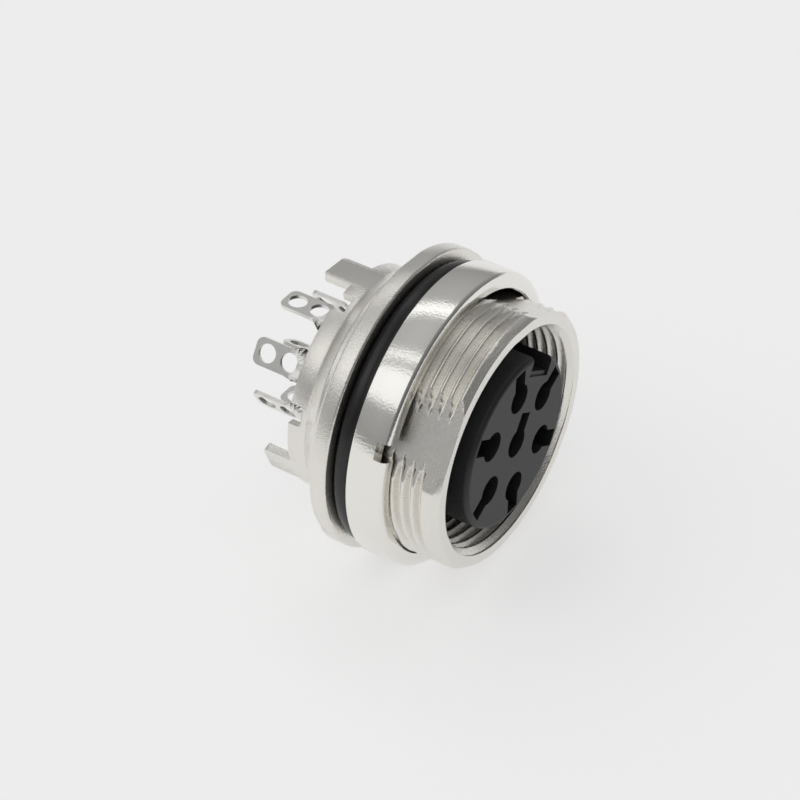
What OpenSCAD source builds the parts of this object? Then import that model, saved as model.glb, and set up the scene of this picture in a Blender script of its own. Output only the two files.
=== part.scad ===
// Seven-way circular socket for mounting in a panel.
// The axis is X, with the mating face towards +X.
// The origin is on the axis, at the front face of the flange.

/* [Shell] */
// Outer diameter of the fastening thread
thread_d = 18; // [15:0.1:22]
// Reach of the sleeve in front of the flange
sleeve_len = 7.4; // [6.1:0.1:12]
// Wall of the sleeve, from the outer thread's crest to the inner thread's crest
sleeve_wall = 1.4; // [1.2:0.1:1.6]
// Length of the chamfer at the mouth
lip_len = 0.45; // [0.2:0.05:1]
// Depth of the chamfer at the mouth, on the radius
lip_drop = 0.32; // [0.1:0.01:0.5]
// Countersink of the mouth, on the radius
mouth_sink = 0.35; // [0.1:0.01:0.4]
// Depth of the two milled flats below the thread's crest
flat_depth = 0.57; // [0.3:0.01:0.7]
// Depth of the neck that the sealing ring sits on, below the thread's crest
neck_depth = 0.46; // [0.4:0.01:0.7]
// How far the flange stands out from the thread
flange_reach = 1.4; // [1.2:0.1:4]
// Thickness of the flange
flange_t = 1.2; // [0.8:0.1:3]
// Chamfer on the rim of the flange
flange_edge = 0.18; // [0.05:0.01:0.3]
// Wall of the rear collar
collar_wall = 0.6; // [0.4:0.05:1]
// Length of the rear collar's plain part
collar_len = 1.29; // [1.2:0.01:3]
// Length of the cone between the collar and the shoulder
cone_len = 1.1; // [0.6:0.1:2]
// Rise of the cone, on the radius
cone_rise = 0.95; // [0.4:0.05:1.2]
// Length of the shoulder behind the flange
shoulder_len = 1.03; // [0.5:0.01:2]
// Thickness of the web that holds the insulator
web_t = 0.8; // [0.5:0.1:1.2]
// How far behind the flange's front face the web's rear face lies
web_back = 1.5; // [1.2:0.1:1.8]

/* [Rear lugs and notches] */
// Number of rear lugs
lug_count = 3; // [1:1:4]
// Width of a lug
lug_w = 2.35; // [1.2:0.05:3]
// How far a lug stands out behind the collar
lug_len = 2.1; // [1:0.05:3]
// Rounding of a lug's end corners
lug_round = 0.3; // [0.1:0.05:0.5]
// Turn of the first lug from the key, clockwise from the front
lug_turn = -25.5; // [-35:0.5:-20]
// Number of notches in the collar's rear edge
notch_count = 6; // [3:3:6]
// Width of a notch
notch_w = 1.4; // [0.8:0.1:1.6]
// Depth of a notch, along the axis
notch_len = 0.9; // [0.5:0.1:1.2]
// Rounding of a notch's corners
notch_round = 0.3; // [0.1:0.05:0.4]
// Turn of the first notch from the key, clockwise from the front
notch_turn = -46.5; // [-60:0.5:-40]

/* [Ring nut] */
// Wall of the ring nut, outside its running clearance
nut_wall = 1.1; // [0.9:0.05:3]
// Width of the ring nut
nut_w = 2.69; // [2:0.01:4]
// Running clearance between nut and thread, on the radius
nut_clear = 0.05; // [0.02:0.01:0.1]
// Chamfer on the nut's rear edge
nut_edge = 0.2; // [0.05:0.01:0.4]
// Length of the front edge's round, along the axis
nut_round_len = 0.32; // [0.1:0.01:0.6]
// Height of the front edge's round, on the radius
nut_round_rise = 0.5; // [0.1:0.01:0.6]
// Number of spanner slots
slot_count = 2; // [2:1:4]
// Width of a spanner slot
slot_w = 1.15; // [0.8:0.01:2]
// Depth of a spanner slot
slot_depth = 0.89; // [0.5:0.01:1.2]
// Turn of the first slot from the key, clockwise from the front
slot_turn = -99; // [-180:0.5:180]

/* [Sealing ring] */
// Thickness of the ring's round section
seal_section = 1.24; // [1:0.01:1.5]
// Gap left on each side of the section
seal_gap = 0.02; // [0.01:0.01:0.05]

/* [Insulator] */
// Diameter of the plug-shaped front insulator
plug_d = 12; // [10:0.1:14.4]
// How far the plug's face stands proud of the mouth
plug_proud = 0.4; // [0:0.1:1]
// Rounding of the face's edge
plug_round = 0.35; // [0.1:0.05:0.6]
// Radial clearance between insulator and shell
seat_clear = 0.06; // [0.03:0.01:0.1]
// How far the insulator's rear rim stands out from the plug
rim_reach = 1.15; // [0.8:0.05:1.5]
// Thickness of the front insulator's rear rim
rim_t = 1.3; // [1:0.1:2]
// Thickness of the rear insulator
rear_t = 1.1; // [0.8:0.1:1.5]
// Width of the key notch
key_w = 2.65; // [1.5:0.05:2.8]
// Depth of the key notch, towards the axis
key_depth = 1.13; // [0.6:0.01:1.2]
// Length of the key notch, along the axis
key_len = 5.5; // [2:0.1:7]
// Reach of the ledge below the key notch
ledge_reach = 0.3; // [0.1:0.01:0.4]
// Depth of the ledge below the face
ledge_depth = 0.15; // [0.1:0.05:0.5]
// Wall left between a slot and the plug's side
slit_rim = 0.4; // [0.3:0.01:0.6]
// Width of the slot beside each opening
slit_w = 1.18; // [1:0.01:1.3]
// Depth of the slot beside each opening
slit_depth = 3; // [1:0.1:5]
// Reach of the slot beside the middle opening
middle_slit = 2.08; // [1.5:0.01:2.2]
// Turn of the whole socket: the key's angle from straight up
key_roll = 33; // [0:1:359]

/* [Contacts] */
// Radius of the ring of contacts
ring_r = 3.6; // [3:0.01:4]
// Number of contacts on the ring
ring_count = 6; // [4:1:6]
// Bore of the rolled sleeve
socket_d = 1.04; // [0.9:0.01:1.1]
// Depth of the bore
socket_depth = 5.2; // [4:0.1:6]
// Thickness of the contact's sheet
sheet_t = 0.25; // [0.2:0.01:0.35]
// How far the sleeve lies behind the insulator's face
sleeve_set_back = 1.5; // [0.8:0.1:2]
// Seam left by the rolling
seam_w = 0.15; // [0.1:0.01:0.2]
// Radial clearance between the sleeve and its hole
sleeve_clear = 0.24; // [0.1:0.01:0.3]
// Width of the solder tag
tag_w = 1.9; // [1.7:0.01:2.3]
// Distance of the tag's outer face from the sleeve's axis
tag_offset = 0.48; // [0.3:0.01:0.7]
// Length of the contact behind the insulator
tag_len = 6.1; // [4.5:0.1:8]
// Radius of the tag's end corners
tag_round = 0.5; // [0.3:0.01:0.8]
// Length of the flat end of the tag
tag_flat = 2.5; // [2:0.1:3.5]
// Length over which the flat sheet is rolled up into the tube
roll_len = 1.5; // [1:0.1:2]
// How far round the tube is rolled, in degrees
roll_turn = 310; // [240:5:330]
// How much thinner the tube is than the sleeve, on the radius
tube_step = 0.03; // [0.02:0.01:0.06]
// Radial clearance between the tube and the rear insulator
tube_clear = 0.08; // [0.05:0.01:0.15]
// Diameter of the eyelets
eyelet_d = 1.3; // [0.8:0.01:1.4]
// Distance from the tag's end to the first eyelet
eyelet_end = 0.94; // [0.85:0.01:1.2]
// Distance between the two eyelets
eyelet_gap = 1.71; // [1.5:0.01:2]

/* [Hidden] */
$fn = 96;
past = 1;                                   // cutters run this far past a face
thread_r = thread_d / 2;
neck_r = thread_r - neck_depth;
mating_bore_r = thread_r - sleeve_wall;
mouth_r = mating_bore_r + mouth_sink;
flange_r = thread_r + flange_reach;
plug_r = plug_d / 2;
collar_bore_r = plug_r + rim_reach;
collar_r = collar_bore_r + collar_wall;
shoulder_r = collar_r + cone_rise;
mouth_x = sleeve_len;
face_x = mouth_x + plug_proud;
shoulder_back = -flange_t - shoulder_len;
cone_back = shoulder_back - cone_len;
collar_back = cone_back - collar_len;
lug_back = collar_back - lug_len;
blank_back = lug_back - past / 2;           // where the turned collar ends before milling
seal_width = seal_section + 2 * seal_gap;   // room between flange and nut
neck_end = seal_width + 0.07;
thread_start = neck_end + 0.35;             // where the run-up cone reaches full size
nut_back = seal_width;
nut_front = nut_back + nut_w;
nut_bore_r = thread_r + nut_clear;
nut_r = nut_bore_r + nut_wall;
rim_back = -web_back - rim_t;
rear_back = rim_back - rear_t;
insulator_r = collar_bore_r - seat_clear;
sleeve_r = socket_d / 2 + sheet_t;
hole_r = sleeve_r + sleeve_clear;
sleeve_front = face_x - sleeve_set_back;
bore_end = sleeve_front - socket_depth;
root_back = rim_back;                       // the solid root ends where the rear insulator begins
root_lap = 0.4;                             // the rolled tube runs this far into the root
tube_way_r = sleeve_r + tube_clear;
tag_end = rear_back - tag_len;
roll_start = tag_end + tag_flat;
roll_end = roll_start + roll_len;
flat_level = tag_offset - sheet_t / 2;      // the flat sheet's middle plane
tube_level = sleeve_r - tube_step - sheet_t / 2;
tube_half = tube_level * roll_turn / 360 * PI;
arc_steps = 5;                              // facets in a rounded corner
roll_steps = 6;                             // outlines along the rolled length
side_steps = 16;                            // facets across the sheet

// The local Z axis becomes the part's X axis, and local Y points at the key.
module on_axis() rotate([-key_roll, 0, 0]) rotate([90, 0, 90]) children();

// A turn of the given angle, clockwise seen from the front.
module clockwise(angle) rotate([0, 0, -angle]) children();

// A ring or disc between two places on the axis.
module turned(from, to, outer_r, inner_r = 0)
    translate([0, 0, from])
        difference() {
            cylinder(h = to - from, r = outer_r);
            if (inner_r > 0)
                translate([0, 0, -past]) cylinder(h = to - from + 2 * past, r = inner_r);
        }

// A flat strip that ends in two round corners, centred on x, from y = 0 up.
module round_ended(width, length, corner)
    polygon(concat(
        [[-width / 2, 0], [width / 2, 0]],
        [for (k = [0 : arc_steps])
            [width / 2 - corner, length - corner]
            + corner * [cos(90 * k / arc_steps), sin(90 * k / arc_steps)]],
        [for (k = [arc_steps : -1 : 0])
            [corner - width / 2, length - corner]
            + corner * [-cos(90 * k / arc_steps), sin(90 * k / arc_steps)]]
    ));

module shell_profile()
    polygon([
        [collar_bore_r, blank_back],
        [collar_r, blank_back],
        [collar_r, cone_back],
        [shoulder_r, shoulder_back],
        [shoulder_r, -flange_t],
        [flange_r - flange_edge, -flange_t],
        [flange_r, -flange_t + flange_edge],
        [flange_r, -flange_edge],
        [flange_r - flange_edge, 0],
        [neck_r, 0],
        [neck_r, neck_end],
        [thread_r, thread_start],
        [thread_r, mouth_x - lip_len],
        [thread_r - lip_drop, mouth_x],
        [mouth_r, mouth_x],
        [mating_bore_r, mouth_x - mouth_sink],
        [mating_bore_r, web_t - web_back],
        [plug_r + seat_clear, web_t - web_back],
        [plug_r + seat_clear, -web_back],
        [collar_bore_r, -web_back]
    ]);

// Milling the collar back leaves the lugs standing on it.
module round_the_lugs()
    difference() {
        turned(lug_back - past, collar_back, collar_r + past);
        for (i = [0 : lug_count - 1])
            clockwise(lug_turn + i * 360 / lug_count)
                translate([0, 0, collar_back + past]) rotate([-90, 0, 0])
                    linear_extrude(height = collar_r + 2 * past)
                        round_ended(lug_w, lug_len + past, lug_round);
    }

module collar_notch()
    translate([0, 0, collar_back - past]) rotate([90, 0, 180])
        linear_extrude(height = collar_r + past)
            round_ended(notch_w, notch_len + past, notch_round);

module milled_flat()
    translate([-thread_r, thread_r - flat_depth, neck_end])
        cube([thread_d, thread_d, sleeve_len]);

module shell() color([0.80, 0.78, 0.74]) on_axis()
    difference() {
        rotate_extrude() shell_profile();
        for (turn = [0, -90]) clockwise(turn) milled_flat();
        round_the_lugs();
        for (i = [0 : notch_count - 1])
            clockwise(notch_turn + i * 360 / notch_count) collar_notch();
    }

// Half outline of the plug, with a true round at the edge of its face.
module plug_profile() {
    square([plug_r - plug_round, face_x]);
    square([plug_r, face_x - plug_round]);
    translate([plug_r - plug_round, face_x - plug_round]) circle(r = plug_round);
}

// Places its child at a contact: the last one is in the middle.
module at_contact(i)
    if (i <= ring_count)
        clockwise((i - 0.5) * 360 / ring_count) translate([0, ring_r, 0]) children();
    else
        children();

// The keyhole slot runs outwards from the round hole and stops short of the plug's side.
module face_slit(length)
    translate([-slit_w / 2, 0, face_x - slit_depth])
        cube([slit_w, length, slit_depth + past]);

// The key notch, and the shallow ledge beside it in the face.
module key_notch() {
    translate([-key_w / 2, plug_r - key_depth, face_x - key_len])
        cube([key_w, plug_r, key_len + past]);
    translate([-key_w / 2, plug_r - key_depth - ledge_reach, face_x - ledge_depth])
        cube([key_w, plug_r, ledge_depth + past]);
}

module front_insulator() color([0.13, 0.13, 0.14]) on_axis()
    difference() {
        union() {
            rotate_extrude() plug_profile();
            turned(-web_back, past, plug_r);
            turned(rim_back, -web_back, insulator_r);
        }
        key_notch();
        for (i = [1 : ring_count + 1])
            at_contact(i) {
                turned(rim_back - past, face_x + past, hole_r);
                face_slit(i <= ring_count ? plug_r - slit_rim - ring_r : middle_slit);
            }
    }

module rear_insulator() color([0.10, 0.10, 0.11]) on_axis()
    difference() {
        turned(rear_back, rim_back, insulator_r);
        for (i = [1 : ring_count + 1])
            at_contact(i) turned(rear_back - past, rim_back + past, tube_way_r);
    }

module sealing_ring() color([0.08, 0.08, 0.08]) on_axis()
    rotate_extrude()
        translate([neck_r + seal_section / 2 + seal_gap, seal_width / 2])
            circle(d = seal_section);

module nut_profile()
    polygon([
        [nut_bore_r, nut_back],
        [nut_r - nut_edge, nut_back],
        [nut_r, nut_back + nut_edge],
        [nut_r, nut_front - nut_round_len],
        [nut_r - nut_round_rise / 3, nut_front - nut_round_len / 3],
        [nut_r - nut_round_rise, nut_front],
        [nut_bore_r, nut_front]
    ]);

module ring_nut() color([0.84, 0.82, 0.78]) on_axis()
    difference() {
        rotate_extrude() nut_profile();
        for (i = [0 : slot_count - 1])
            clockwise(slot_turn + i * 360 / slot_count)
                translate([-slot_w / 2, thread_r / 2, nut_front - slot_depth])
                    cube([slot_w, nut_r, slot_depth + past]);
    }

// The sheet's cross-section at one place along the tag: its outer face, then its inner face.
// The share rolled up runs from 0, which is flat, to 1, which is the tube.
function sheet_rows(half_w, rolled) =
    let (
        half = half_w * (1 - rolled) + tube_half * rolled,
        level = flat_level * (1 - rolled) + tube_level * rolled,
        bow = max(rolled, 0.0001) / tube_level,
        turns = [for (k = [0 : side_steps])
            (2 * k / side_steps - 1) * half * bow * 180 / PI]
    )
    concat(
        [for (t = turns) [0, level - 1 / bow] + (1 / bow + sheet_t / 2) * [sin(t), cos(t)]],
        [for (t = turns) [0, level - 1 / bow] + (1 / bow - sheet_t / 2) * [sin(t), cos(t)]]
    );

// Flat tag, rolled length and tube as one skin through the cross-sections along the axis.
// Each station is [place on the axis, half the flat width, share rolled up].
module rolled_sheet() {
    corner = [for (k = [0 : arc_steps])
        let (t = 90 * k / arc_steps)
        [tag_end + tag_round * (1 - cos(t)), tag_w / 2 - tag_round * (1 - sin(t)), 0]];
    rolling = [for (k = [0 : roll_steps])
        let (s = k / roll_steps)
        [roll_start + s * roll_len, tag_w / 2, s * s * (3 - 2 * s)]];
    stations = concat(corner, rolling, [[root_back + root_lap, tag_w / 2, 1]]);
    rows = [for (s = stations) sheet_rows(s[1], s[2])];
    m = side_steps + 1;                     // corners across the sheet
    n = 2 * m;                              // corners round one outline
    last = len(stations) - 1;
    loop = concat([for (i = [0 : m - 1]) i], [for (i = [n - 1 : -1 : m]) i]);
    polyhedron(
        points = [for (j = [0 : last]) for (p = rows[j]) [p[0], p[1], stations[j][0]]],
        faces = concat(
            [for (i = [0 : m - 2]) [i, m + i, m + i + 1, i + 1]],
            [for (j = [0 : last - 1]) for (k = [0 : n - 1])
                let (a = loop[k], b = loop[(k + 1) % n])
                [j * n + a, j * n + b, (j + 1) * n + b, (j + 1) * n + a]],
            [for (i = [0 : m - 2])
                [last * n + i, last * n + i + 1, last * n + m + i + 1, last * n + m + i]]
        )
    );
}

// One contact: a rolled sleeve with a seam, and the tag that it was stamped with.
module contact(i) color([0.86, 0.85, 0.82]) on_axis() at_contact(i) {
    difference() {
        turned(root_back, sleeve_front, sleeve_r);
        translate([0, 0, bore_end]) cylinder(h = socket_depth + past, d = socket_d);
        translate([-seam_w / 2, -2 * sleeve_r, bore_end])
            cube([seam_w, 2 * sleeve_r, socket_depth + past]);
    }
    difference() {
        rolled_sheet();
        for (k = [0, 1])
            translate([0, 0, tag_end + eyelet_end + k * eyelet_gap])
                rotate([-90, 0, 0]) cylinder(h = past, d = eyelet_d);
    }
}

shell();
front_insulator();
rear_insulator();
sealing_ring();
ring_nut();
contact(1);  // contact_1
contact(2);  // contact_2
contact(3);  // contact_3
contact(4);  // contact_4
contact(5);  // contact_5
contact(6);  // contact_6
contact(7);  // contact_7
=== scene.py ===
"""A seven-way circular panel socket: plated shell and ring nut, black insulator and silver contacts."""
import math

import bmesh
import bpy
import numpy as np
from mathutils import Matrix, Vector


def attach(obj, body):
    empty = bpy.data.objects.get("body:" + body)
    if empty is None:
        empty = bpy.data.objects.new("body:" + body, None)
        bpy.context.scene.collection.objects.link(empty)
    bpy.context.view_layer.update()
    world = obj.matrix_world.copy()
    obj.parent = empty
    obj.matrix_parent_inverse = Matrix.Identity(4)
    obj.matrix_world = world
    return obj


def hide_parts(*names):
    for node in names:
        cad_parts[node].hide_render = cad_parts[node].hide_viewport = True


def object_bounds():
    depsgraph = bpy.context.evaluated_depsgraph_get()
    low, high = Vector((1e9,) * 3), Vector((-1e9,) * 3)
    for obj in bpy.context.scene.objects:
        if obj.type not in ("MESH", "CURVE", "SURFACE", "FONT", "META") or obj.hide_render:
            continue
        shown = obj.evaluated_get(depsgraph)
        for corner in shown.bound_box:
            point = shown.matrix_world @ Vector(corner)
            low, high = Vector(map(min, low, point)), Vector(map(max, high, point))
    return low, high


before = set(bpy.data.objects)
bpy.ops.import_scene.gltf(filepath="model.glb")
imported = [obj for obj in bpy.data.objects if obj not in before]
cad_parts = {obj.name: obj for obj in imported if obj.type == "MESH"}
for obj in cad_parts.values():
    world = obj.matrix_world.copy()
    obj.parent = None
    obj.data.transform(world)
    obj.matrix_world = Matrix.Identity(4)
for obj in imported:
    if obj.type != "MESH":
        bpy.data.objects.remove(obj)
cad_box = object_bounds()
scene = bpy.context.scene
MM = 0.001

# ---- camera ------------------------------------------------------------------------------------
# A long lens looks down on the socket from its front right. The mating face is turned half away
# from it, and the aim is a little to the left of the origin.
view_azimuth, view_elevation = math.radians(32.6), math.radians(41.4)
view_distance = 194.6 * MM
aim_right, aim_up = -0.86 * MM, -0.03 * MM
back = np.array([math.sin(view_azimuth) * math.cos(view_elevation),
                 -math.cos(view_azimuth) * math.cos(view_elevation), math.sin(view_elevation)])
right = np.array([math.cos(view_azimuth), math.sin(view_azimuth), 0.0])
camera = bpy.data.objects.new("camera", bpy.data.cameras.new("camera"))
camera.data.lens = 135
camera.data.sensor_width = 36
camera.data.clip_start = 0.01
camera.location = back * view_distance + right * aim_right + np.cross(back, right) * aim_up
camera.rotation_euler = (math.pi / 2 - view_elevation, 0, view_azimuth)
scene.collection.objects.link(camera)
scene.camera = camera
scene.view_settings.view_transform = "Standard"

# ---- floor and light ---------------------------------------------------------------------------
# White paper under the socket, which lies on the rim of its flange. Soft boxes stand round it,
# with grey gaps between them that the plating shows as darker bands.
floor_z = cad_box[0][2]
floor_half = 1.2
floor_mesh = bpy.data.meshes.new("floor")
floor_mesh.from_pydata([(-floor_half, -floor_half, floor_z), (floor_half, -floor_half, floor_z),
                        (floor_half, floor_half, floor_z), (-floor_half, floor_half, floor_z)],
                       [], [(0, 1, 2, 3)])
floor = bpy.data.objects.new("floor", floor_mesh)
scene.collection.objects.link(floor)
paper = bpy.data.materials.new("paper")
paper.use_nodes = True
nodes, links = paper.node_tree.nodes, paper.node_tree.links
nodes.clear()
output = nodes.new("ShaderNodeOutputMaterial")
mixed = nodes.new("ShaderNodeAddShader")
matt = nodes.new("ShaderNodeBsdfDiffuse")
matt.inputs["Color"].default_value = (0.60, 0.60, 0.60, 1)
glow = nodes.new("ShaderNodeEmission")
glow.inputs["Color"].default_value = (1, 1, 1, 1)
seen = nodes.new("ShaderNodeLightPath")
either = nodes.new("ShaderNodeMath")
either.operation = "MAXIMUM"
any_way = nodes.new("ShaderNodeMath")
any_way.operation = "MAXIMUM"
level = nodes.new("ShaderNodeMath")
level.operation = "MULTIPLY"
level.inputs[1].default_value = 0.54
links.new(seen.outputs["Is Camera Ray"], either.inputs[0])
links.new(seen.outputs["Is Glossy Ray"], either.inputs[1])
links.new(either.outputs[0], any_way.inputs[0])
links.new(seen.outputs["Is Transmission Ray"], any_way.inputs[1])
links.new(any_way.outputs[0], level.inputs[0])
links.new(level.outputs[0], glow.inputs["Strength"])
links.new(matt.outputs[0], mixed.inputs[0])
links.new(glow.outputs[0], mixed.inputs[1])
links.new(mixed.outputs[0], output.inputs["Surface"])
floor_mesh.materials.append(paper)

world = bpy.data.worlds.new("studio")
scene.world = world
world.use_nodes = True
tree = world.node_tree
sky = tree.nodes["Background"]
sky.inputs["Color"].default_value = (1, 1, 1, 1)
toward = tree.nodes.new("ShaderNodeTexCoord")
parts = tree.nodes.new("ShaderNodeSeparateXYZ")
rise = tree.nodes.new("ShaderNodeMapRange")
rise.inputs["From Min"].default_value = 0.0
rise.inputs["From Max"].default_value = 1.0
rise.inputs["To Min"].default_value = 0.30
rise.inputs["To Max"].default_value = 0.52
front_shade = tree.nodes.new("ShaderNodeMapRange")
front_shade.inputs["From Min"].default_value = -0.3
front_shade.inputs["From Max"].default_value = 0.9
front_shade.inputs["To Min"].default_value = 1.0
front_shade.inputs["To Max"].default_value = 0.35
sky_level = tree.nodes.new("ShaderNodeMath")
sky_level.operation = "MULTIPLY"
tree.links.new(toward.outputs["Generated"], parts.inputs[0])
tree.links.new(parts.outputs["Z"], rise.inputs["Value"])
tree.links.new(parts.outputs["X"], front_shade.inputs["Value"])
tree.links.new(rise.outputs[0], sky_level.inputs[0])
tree.links.new(front_shade.outputs[0], sky_level.inputs[1])
tree.links.new(sky_level.outputs[0], sky.inputs["Strength"])


def strip_box(name, turn, half_width, radiance, length=1.5, distance=0.8, middle_x=-0.35):
    """A long soft box beside the socket and parallel to it, as bright in a mirror as its radiance.

    It hangs at the given turn from straight up, towards +y, and looks at the socket's axis.
    """
    lamp = bpy.data.lights.new(name, "AREA")
    lamp.shape = "RECTANGLE"
    lamp.size = length
    lamp.size_y = 2 * distance * math.tan(math.radians(half_width))
    lamp.energy = radiance * math.pi * lamp.size * lamp.size_y
    holder = bpy.data.objects.new(name, lamp)
    angle = math.radians(turn)
    holder.location = (middle_x, distance * math.sin(angle), distance * math.cos(angle))
    holder.rotation_euler = (-angle, 0, 0)
    scene.collection.objects.link(holder)


strip_box("left_box", -41, 14, 0.62)
strip_box("crown_box", -17, 3, 0.70)
strip_box("right_box", 26, 6, 0.75)

# ---- shell -------------------------------------------------------------------------------------
# Turned from brass bar, then milled, and plated with satin nickel. Two flats cut through the outer
# thread, lugs and notches are milled into the rear collar, and the inner thread takes the plug.
KEY_TURN = 33.0                     # the key's angle from straight up, clockwise from the front
crest_r, root_r, pitch = 9.0, 8.54, 0.75
mouth_x, lip_start, lip_r = 7.4, 6.95, 8.68
flat_level, flat_turns = 8.43, (0.0, -90.0)
flat_edge_from, flat_edge_to = 8.4, 21.3        # its edge lies between these turns from its middle
neck_x, run_up_x = 1.35, 1.70
first_crest_x, helix_turn, entry_span = 7.0, -110.0, 30.0
inner_crest_r, inner_front_x, inner_back_x = 7.6, 7.05, 3.6
inner_fade_gap, inner_fade_length = 0.1, 0.6
mouth_r, lip_middle_r = 7.95, 8.3
flange_r, flange_back_x = 10.4, -1.2
shoulder_r, cone_front_x, cone_back_x = 8.7, -2.33, -3.21
web_hole_r, web_front_x, web_back_x = 6.06, -0.7, -1.5
collar_outer_r, collar_inner_r = 7.75, 7.15
collar_middle_r = (collar_outer_r + collar_inner_r) / 2
collar_row_x, collar_back_x, lug_back_x, notch_x = -3.70, -4.62, -6.72, -3.72
lug_half, lug_round, lug_turn = 2.35 / 2, 0.3, -25.5
notch_half, notch_round, notch_turn = 1.4 / 2, 0.3, -46.5


def surface_object(name, patches, smooth_angle):
    """One object from patches of (x, r, turn) arrays in mm and degrees, each a grid of rows by columns.

    A point lies at x along the axis and at distance r from it, turned clockwise from the key, so
    y = r sin(turn + key turn) and z = r cos(turn + key turn). Rows that follow the outline from the
    front, outside, to the back and forward again inside give faces that point outwards. Points of
    neighbouring patches that coincide are merged, which closes the seams.
    """
    points, faces, start = [], [], 0
    for x, r, turn in patches:
        angle = np.radians(turn + KEY_TURN)
        points.append(np.stack([x, r * np.sin(angle), r * np.cos(angle)], axis=-1).reshape(-1, 3) * MM)
        rows, columns = x.shape
        index = start + np.arange(rows * columns).reshape(rows, columns)
        faces.append(np.stack([index[:-1, :-1], index[:-1, 1:], index[1:, 1:], index[1:, :-1]],
                              axis=-1).reshape(-1, 4))
        start += rows * columns
    points, faces = np.concatenate(points), np.concatenate(faces)
    mesh = bpy.data.meshes.new(name)
    mesh.from_pydata(points.tolist(), [], faces.tolist())
    welded = bmesh.new()
    welded.from_mesh(mesh)
    bmesh.ops.remove_doubles(welded, verts=welded.verts, dist=1.5e-6)
    bmesh.ops.dissolve_degenerate(welded, edges=welded.edges, dist=1e-7)
    welded.to_mesh(mesh)
    welded.free()
    mesh.shade_smooth()
    mesh.set_sharp_from_angle(angle=math.radians(smooth_angle))
    made = bpy.data.objects.new(name, mesh)
    scene.collection.objects.link(made)
    return made


def away(turn, middle):
    """The signed angle from the middle to the turn, from -180 to 180."""
    return (turn - middle + 180.0) % 360.0 - 180.0


def turn_list(fine_spans, gaps, even_step=2.0, fine_step=0.35, margin=0.4):
    """Turn angles once round from the helix's start, closer in the fine spans and none in the gaps.

    A gap is the middle and the half width of a lug or notch, which brings columns of its own.
    """
    kept = np.arange(0.0, 360.0, even_step) + helix_turn
    for low, high in fine_spans:
        kept = kept[(kept <= low) | (kept >= high)]
        kept = np.concatenate([kept, np.arange(low, high + fine_step / 2, fine_step)])
    for middle, half in gaps:
        kept = kept[np.abs(away(kept, middle)) > half + margin]
    return np.sort(kept)


def flat_cut(r, turn, half_span=60):
    """The smaller of r and the distance to each flat, which is its level over the cosine.

    A flat cuts nothing further than the half span, in degrees, from its middle.
    """
    for middle in flat_turns:
        off = away(turn, middle)
        reach = flat_level / np.cos(np.radians(np.clip(off, -half_span, half_span)))
        r = np.where(np.abs(off) < half_span, np.minimum(r, reach), r)
    return r


def edge_columns(middle, half, corner, inner_x, outer_x):
    """Columns across a lug or notch: (turn, edge x) from side to side, with quarter-round corners.

    The edge steps from outer_x to inner_x less the corner, then follows a quarter circle.
    """
    grow = math.copysign(1.0, inner_x - outer_x)
    quarter = np.radians(np.linspace(0, 90, 5))
    across = corner * (1 - np.cos(quarter))
    along = inner_x - grow * corner * (1 - np.sin(quarter))
    place = np.concatenate([[-half], -half + across, (half - across)[::-1], [half]])
    edge = np.concatenate([[outer_x], along, along[::-1], [outer_x]])
    turn = middle + np.degrees(np.arcsin(place / collar_middle_r))
    return turn, edge


# Columns round the shell: three lugs and six notches bring their own, put in order with the rest.
# Their middles are taken within half a turn of the point opposite the helix's start.
opposite = helix_turn + 180.0
lug_middles = [away(lug_turn + 120 * i, opposite) + opposite for i in range(3)]
notch_middles = [away(notch_turn + 60 * i, opposite) + opposite for i in range(6)]
spans = [(middle, lug_half, lug_round, lug_back_x) for middle in lug_middles]
spans += [(middle, notch_half, notch_round, notch_x) for middle in notch_middles]
flat_edges = ((-flat_edge_to, -flat_edge_from), (flat_edge_from, flat_edge_to))
fine_spans = [(middle + low, middle + high) for middle in flat_turns for low, high in flat_edges]
gaps = [(middle, math.degrees(math.asin(half / collar_middle_r))) for middle, half, _, _ in spans]
plain = turn_list(fine_spans, gaps)
columns = [(plain, np.full(len(plain), collar_back_x))]
columns += [edge_columns(middle, half, corner, edge_x, collar_back_x)
            for middle, half, corner, edge_x in spans]
turns = np.concatenate([c[0] for c in columns])
edges = np.concatenate([c[1] for c in columns])
rank = np.concatenate([np.arange(len(c[0])) for c in columns])
order = np.lexsort((rank, np.round(turns, 6)))
turns, edges = turns[order], edges[order]
turns, edges = np.append(turns, turns[0] + 360.0), np.append(edges, edges[0])
share = (turns - turns[0]) / 360.0

# Outer thread: crests and roots follow a helix whose x falls by one pitch a turn. The turn before
# the first groove is uncut, and the first groove deepens smoothly over its entry span.
groove_x = np.array([0, 0.04, 0.07, 0.10, 0.20, 0.315, 0.345, 0.375, 0.405, 0.435, 0.55, 0.65, 0.68, 0.71])
groove_depth = np.array(
    [0, 0.0, 0.02, 0.06, 0.24, 0.43, 0.455, 0.46, 0.455, 0.43, 0.24, 0.06, 0.02, 0.0])
outer_turns = np.arange(-1, 9)
run = np.concatenate([groove_x + pitch * k for k in outer_turns])
depth = np.tile(groove_depth, len(outer_turns))[:, None]
turn_number = np.repeat(outer_turns, len(groove_x))[:, None]
x = first_crest_x - run[:, None] - pitch * share[None, :]
entry = np.clip(share * 360 / entry_span, 0, 1)
entry = entry * entry * (3 - 2 * entry)
fade = np.where(turn_number < 0, 0.0, np.where(turn_number == 0, entry[None, :], 1.0))
r = crest_r - depth * fade
x = np.vstack([np.full_like(x[:1], mouth_x), x])
r = np.vstack([np.full_like(r[:1], crest_r), r])
x = np.clip(x, neck_x, mouth_x)
r = np.minimum(r, crest_r - (x - lip_start) * (crest_r - lip_r) / (mouth_x - lip_start))
r = np.minimum(r, root_r + np.maximum(x - neck_x, 0) * (crest_r - root_r) / (run_up_x - neck_x))
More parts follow.
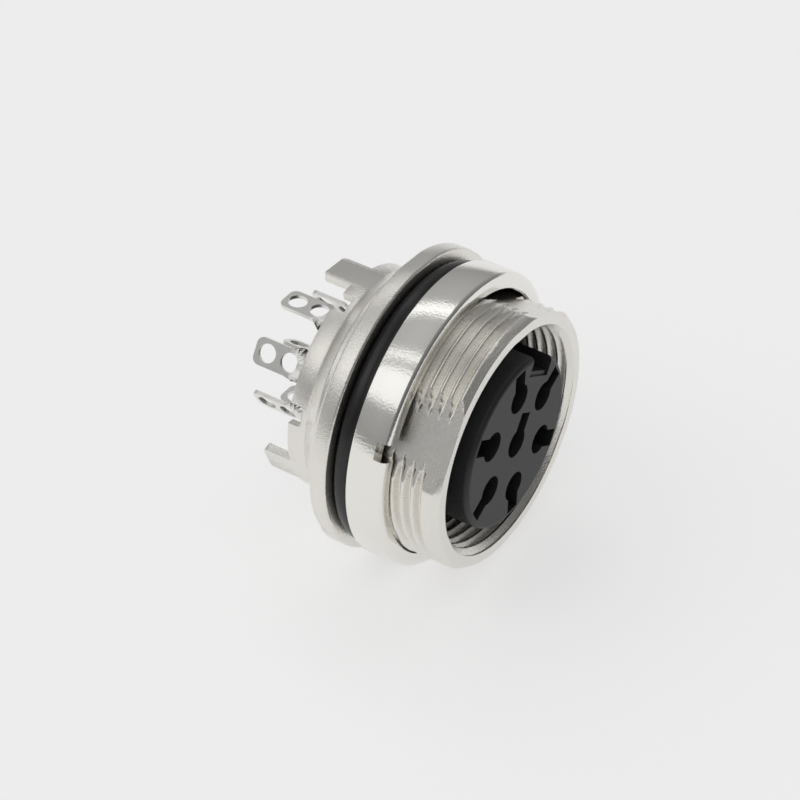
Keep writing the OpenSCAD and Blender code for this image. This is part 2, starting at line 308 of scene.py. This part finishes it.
turn_grid = np.broadcast_to(turns, x.shape)
outer_thread = (x, flat_cut(r, turn_grid), turn_grid)

# Neck, flange, shoulder, cone and collar, then forward inside to the inner thread.
body_outline = np.array([
    [root_r, neck_x], [root_r, 0.04], [root_r + 0.04, 0.0],
    [flange_r - 0.18, 0.0], [flange_r - 0.10, -0.02], [flange_r - 0.02, -0.10], [flange_r, -0.18],
    [flange_r, flange_back_x + 0.16], [flange_r - 0.03, flange_back_x + 0.08],
    [flange_r - 0.12, flange_back_x], [shoulder_r + 0.06, flange_back_x],
    [shoulder_r + 0.01, flange_back_x - 0.02], [shoulder_r, flange_back_x - 0.08],
    [shoulder_r, cone_front_x + 0.18], [shoulder_r - 0.03, cone_front_x + 0.09],
    [shoulder_r - 0.10, cone_front_x], [collar_outer_r + 0.09, cone_back_x],
    [collar_outer_r + 0.02, cone_back_x - 0.10], [collar_outer_r, cone_back_x - 0.21],
    [collar_outer_r, collar_row_x]])
inside_outline = np.array([
    [collar_inner_r, collar_row_x], [collar_inner_r, web_back_x], [web_hole_r, web_back_x],
    [web_hole_r, web_front_x], [inner_crest_r, web_front_x], [inner_crest_r, inner_back_x]])
collar_rim = np.array([
    [collar_outer_r, 0.06], [collar_outer_r - 0.02, 0.02], [collar_outer_r - 0.06, 0.0],
    [collar_inner_r + 0.06, 0.0], [collar_inner_r + 0.02, 0.02], [collar_inner_r, 0.06]])
x = np.concatenate([np.repeat(body_outline[:, 1:], len(turns), 1), edges[None, :] + collar_rim[:, 1:],
                    np.repeat(inside_outline[:, 1:], len(turns), 1)])
r = np.repeat(np.concatenate([body_outline[:, 0], collar_rim[:, 0], inside_outline[:, 0]])[:, None],
              len(turns), 1)
turn_grid = np.broadcast_to(turns, x.shape)
r[0] = flat_cut(r[0], turns)
body = (x, r, turn_grid)

# Inner thread: the same helix cut outwards. It fades out over its fade length at the inner end.
inner_x = np.array([0, 0.06, 0.10, 0.30, 0.36, 0.40, 0.60, 0.66])
inner_depth = np.array([0, 0.0, 0.04, 0.36, 0.40, 0.36, 0.04, 0.0])
inner_turns = 7
run = np.concatenate([inner_x + pitch * k for k in range(inner_turns)])
x = mouth_x + pitch - run[:, None] - pitch * share[None, :]
x = np.clip(x, inner_back_x, mouth_x)
fade = np.clip((x - inner_back_x - inner_fade_gap) / inner_fade_length, 0, 1)
r = inner_crest_r + np.tile(inner_depth, inner_turns)[:, None] * fade
r = np.maximum(r, inner_crest_r + np.maximum(x - inner_front_x, 0))
x = np.vstack([x, np.full_like(x[:1], inner_back_x)])[::-1]
r = np.vstack([r, np.full_like(r[:1], inner_crest_r)])[::-1]
turn_grid = np.broadcast_to(turns, x.shape)
inner_thread = (x, np.where(x >= mouth_x, mouth_r, r), turn_grid)

# Front face of the mouth, from the countersink out to the lip.
lip_edges = np.array([mouth_r, mouth_r + 0.03, lip_middle_r, lip_r - 0.04, lip_r])
r = np.repeat(lip_edges[:, None], len(turns), 1)
r[1:] = flat_cut(r[1:], np.broadcast_to(turns, r[1:].shape))
x = np.full_like(r, mouth_x)
lip = (x, r, np.broadcast_to(turns, r.shape))
shell = surface_object("threaded_shell", [outer_thread, body, inner_thread, lip], 32)
shell_metal = bpy.data.materials.new("satin_nickel")


def plating(metal, color, warm, rough, rough_spread, grain, grain_size, bump):
    """Plated metal: colour and roughness drift with broad noise, and fine grain roughens the surface.

    Broad noise mixes the colour with a warmer one, the same noise spreads the roughness evenly on
    both sides of its middle value, and the fine noise is the height of the bump.
    """
    metal.use_nodes = True
    tree = metal.node_tree
    shader = tree.nodes["Principled BSDF"]
    shader.inputs["Metallic"].default_value = 1.0
    place = tree.nodes.new("ShaderNodeTexCoord")
    broad = tree.nodes.new("ShaderNodeTexNoise")
    broad.inputs["Scale"].default_value = 350
    broad.inputs["Detail"].default_value = 3
    tint = tree.nodes.new("ShaderNodeMix")
    tint.data_type = "RGBA"
    tint.inputs[6].default_value = (*color, 1)
    tint.inputs[7].default_value = (*warm, 1)
    spread = tree.nodes.new("ShaderNodeMapRange")
    spread.inputs["To Min"].default_value = rough - rough_spread
    spread.inputs["To Max"].default_value = rough + rough_spread
    fine_noise = tree.nodes.new("ShaderNodeTexNoise")
    fine_noise.inputs["Scale"].default_value = grain_size
    fine_noise.inputs["Detail"].default_value = grain
    height = tree.nodes.new("ShaderNodeBump")
    height.inputs["Strength"].default_value = bump
    height.inputs["Distance"].default_value = 0.00005
    tree.links.new(place.outputs["Object"], broad.inputs["Vector"])
    tree.links.new(place.outputs["Object"], fine_noise.inputs["Vector"])
    tree.links.new(broad.outputs["Fac"], tint.inputs[0])
    tree.links.new(broad.outputs["Fac"], spread.inputs["Value"])
    tree.links.new(tint.outputs[2], shader.inputs["Base Color"])
    tree.links.new(spread.outputs[0], shader.inputs["Roughness"])
    tree.links.new(fine_noise.outputs["Fac"], height.inputs["Height"])
    tree.links.new(height.outputs[0], shader.inputs["Normal"])


plating(shell_metal, (0.80, 0.785, 0.75), (0.86, 0.83, 0.77), 0.27, 0.06, 4, 9000, 0.45)
shell.data.materials.append(shell_metal)
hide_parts("shell")
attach(shell, "socket")

# ---- ring nut ----------------------------------------------------------------------------------
# A narrow brass nut with two spanner slots in its front face, nickel plated and brighter than the
# shell. It clamps the panel against the sealing ring.
nut_hole_r, nut_rim_r, nut_back_x, nut_front_x = 9.05, 10.15, 1.28, 3.97
nut_outline = np.array([
    [nut_hole_r, nut_front_x - 0.10], [nut_hole_r + 0.10, nut_front_x],
    [nut_rim_r - 0.55, nut_front_x], [nut_rim_r - 0.47, nut_front_x - 0.007],
    [nut_rim_r - 0.20, nut_front_x - 0.095], [nut_rim_r - 0.13, nut_front_x - 0.14],
    [nut_rim_r - 0.02, nut_front_x - 0.27], [nut_rim_r, nut_front_x - 0.33],
    [nut_rim_r, nut_back_x + 0.20], [nut_rim_r - 0.02, nut_back_x + 0.14],
    [nut_rim_r - 0.16, nut_back_x + 0.01], [nut_rim_r - 0.20, nut_back_x],
    [nut_hole_r, nut_back_x], [nut_hole_r, nut_front_x - 0.10]])
slot_floor_x, slot_half, slot_middle_r, slot_turn = 3.08, 1.15 / 2, 9.65, -99.0
slot_reach = math.degrees(math.asin(slot_half / slot_middle_r))
nut_step, seam_turn, slot_margin = 1.5, 20.0, 0.5
uncut_x = 9.0                       # in front of the nut, so that nothing is cut there
nut_turns = np.arange(0.0, 360.0, nut_step) + slot_turn + seam_turn
floor_x = np.full(len(nut_turns), uncut_x)
for middle in (slot_turn + 180.0, slot_turn + 360.0):
    outside = np.abs(nut_turns - middle) > slot_reach + slot_margin
    nut_turns, floor_x = nut_turns[outside], floor_x[outside]
    side = np.array([-slot_reach, -slot_reach, 0.0, slot_reach, slot_reach]) + middle
    nut_turns = np.concatenate([nut_turns, side])
    floor_x = np.concatenate([floor_x, [uncut_x, slot_floor_x, slot_floor_x, slot_floor_x, uncut_x]])
    order = np.argsort(nut_turns, kind="stable")
    nut_turns, floor_x = nut_turns[order], floor_x[order]
nut_turns, floor_x = np.append(nut_turns, nut_turns[0] + 360.0), np.append(floor_x, floor_x[0])
x = np.minimum(nut_outline[:, 1:], floor_x[None, :])
r = np.repeat(nut_outline[:, :1], len(nut_turns), 1)
nut = surface_object("slotted_nut", [(x, r, np.broadcast_to(nut_turns, x.shape))], 28)
nut_metal = bpy.data.materials.new("bright_nickel")
plating(nut_metal, (0.84, 0.83, 0.80), (0.88, 0.86, 0.81), 0.11, 0.04, 5, 7000, 0.2)
nut.data.materials.append(nut_metal)
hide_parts("ring_nut")
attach(nut, "nut")

# ---- sealing ring ------------------------------------------------------------------------------
# A round rubber ring on the neck, between flange and nut. Its section is a circle swept once round.
ring_x, ring_middle, ring_section = 0.64, 9.18, 0.62
section_rows, ring_columns = 33, 181
around = np.radians(np.linspace(0, 360, section_rows))[:, None]
ring_turns = np.linspace(0, 360, ring_columns)[None, :]
x = ring_x - ring_section * np.sin(around) + 0 * ring_turns
r = ring_middle + ring_section * np.cos(around) + 0 * ring_turns
seal = surface_object("rubber_ring", [(x, r, 0 * around + ring_turns)], 60)
rubber = bpy.data.materials.new("black_rubber")
rubber.use_nodes = True
shader = rubber.node_tree.nodes["Principled BSDF"]
shader.inputs["Roughness"].default_value = 0.3
tree = rubber.node_tree
place = tree.nodes.new("ShaderNodeTexCoord")
dust = tree.nodes.new("ShaderNodeTexNoise")
dust.inputs["Scale"].default_value = 2500
dust.inputs["Detail"].default_value = 4
tone = tree.nodes.new("ShaderNodeMix")
tone.data_type = "RGBA"
tone.inputs[6].default_value = (0.006, 0.006, 0.007, 1)
tone.inputs[7].default_value = (0.022, 0.022, 0.023, 1)
tree.links.new(place.outputs["Object"], dust.inputs["Vector"])
tree.links.new(dust.outputs["Fac"], tone.inputs[0])
tree.links.new(tone.outputs[2], shader.inputs["Base Color"])
seal.data.materials.append(rubber)
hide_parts("sealing_ring")
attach(seal, "socket")

# ---- insulators --------------------------------------------------------------------------------
# Moulded black thermoplastic with a fine grain. The front plug carries the keyhole openings, and a
# plain disc closes the back, held in the collar.
plastic = bpy.data.materials.new("black_plastic")
plastic.use_nodes = True
tree = plastic.node_tree
shader = tree.nodes["Principled BSDF"]
shader.inputs["Roughness"].default_value = 0.5
place = tree.nodes.new("ShaderNodeTexCoord")
grain = tree.nodes.new("ShaderNodeTexNoise")
grain.inputs["Scale"].default_value = 6000
grain.inputs["Detail"].default_value = 5
tone = tree.nodes.new("ShaderNodeMix")
tone.data_type = "RGBA"
tone.inputs[6].default_value = (0.008, 0.008, 0.010, 1)
tone.inputs[7].default_value = (0.022, 0.022, 0.026, 1)
height = tree.nodes.new("ShaderNodeBump")
height.inputs["Strength"].default_value = 0.5
height.inputs["Distance"].default_value = 0.00004
tree.links.new(place.outputs["Object"], grain.inputs["Vector"])
tree.links.new(grain.outputs["Fac"], tone.inputs[0])
tree.links.new(tone.outputs[2], shader.inputs["Base Color"])
tree.links.new(grain.outputs["Fac"], height.inputs["Height"])
tree.links.new(height.outputs[0], shader.inputs["Normal"])
for name in ("front_insulator", "rear_insulator"):
    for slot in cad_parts[name].material_slots:
        slot.material = plastic

# ---- contacts ----------------------------------------------------------------------------------
# Stamped from thin copper-alloy sheet, rolled into a sleeve at the front and left flat behind as a
# solder tag with two eyelets, then plated silver white.
silver = bpy.data.materials.new("silver_plating")
plating(silver, (0.82, 0.82, 0.80), (0.86, 0.84, 0.80), 0.33, 0.07, 4, 8000, 0.3)
for i in range(1, 8):
    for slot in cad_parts[f"contact_{i}"].material_slots:
        slot.material = silver
